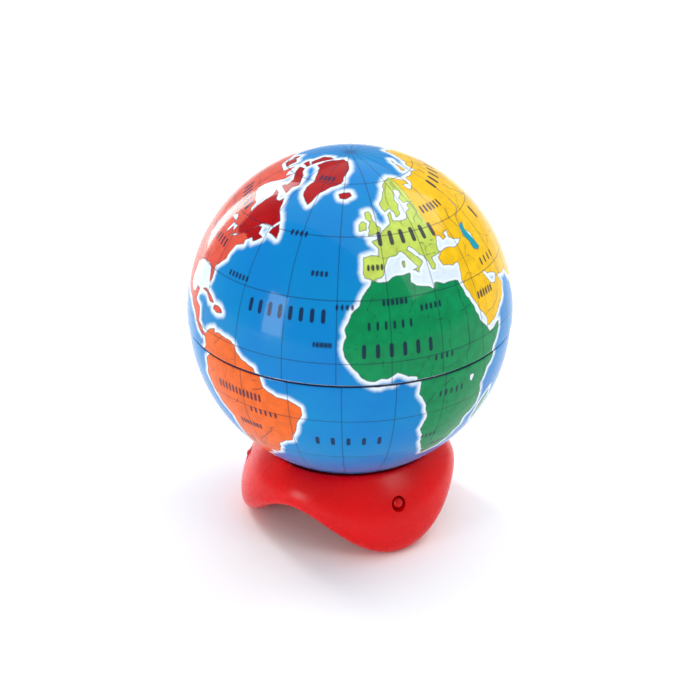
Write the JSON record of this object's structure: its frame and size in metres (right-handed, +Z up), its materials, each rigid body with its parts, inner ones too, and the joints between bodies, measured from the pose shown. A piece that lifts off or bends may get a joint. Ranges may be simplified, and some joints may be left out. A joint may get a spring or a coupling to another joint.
{
  "type": "globe pencil sharpener",
  "caption": "Desk pencil sharpener: a printed tin globe that opens at its equator turns on a three-lobed plastic foot with a pencil hole beneath.",
  "frame": {"origin": "on the standing surface, on the globe's vertical axis", "axes": "+Z up through the globe's pole; +X to the right and +Y away from a viewer who faces the globe"},
  "size_m": [0.05, 0.05, 0.06],
  "materials": {
    "upper_print": "glossy printed tinplate",
    "lower_print": "glossy printed tinplate",
    "red_plastic": "moulded, satin gloss",
    "guide_plastic": "moulded, satin gloss",
    "ring_plastic": "natural moulded plastic",
    "wedge_metal": "die-cast and machined, satin",
    "blade_steel": "ground",
    "screw_steel": "zinc plated"
  },
  "bodies": {
    "foot": {"base": "red_plastic", "pencil_guide": "guide_plastic", "retaining_ring": "ring_plastic", "sharpener_body": "wedge_metal", "blade": "blade_steel", "blade_screw": "screw_steel"},
    "lower_globe": {"lower_globe_half": "lower_print"},
    "upper_globe": {"upper_globe_half": "upper_print"}
  },
  "joints": [
    {"name": "globe_swivel", "type": "hinge", "parent": "foot", "child": "lower_globe", "pos_m": [0, 0, 0.0125], "axis": [0, 0, 1], "continuous": true},
    {"name": "upper_lift", "type": "slide", "parent": "lower_globe", "child": "upper_globe", "axis": [0, 0, 1], "range_m": [0, 0.05]}
  ]
}
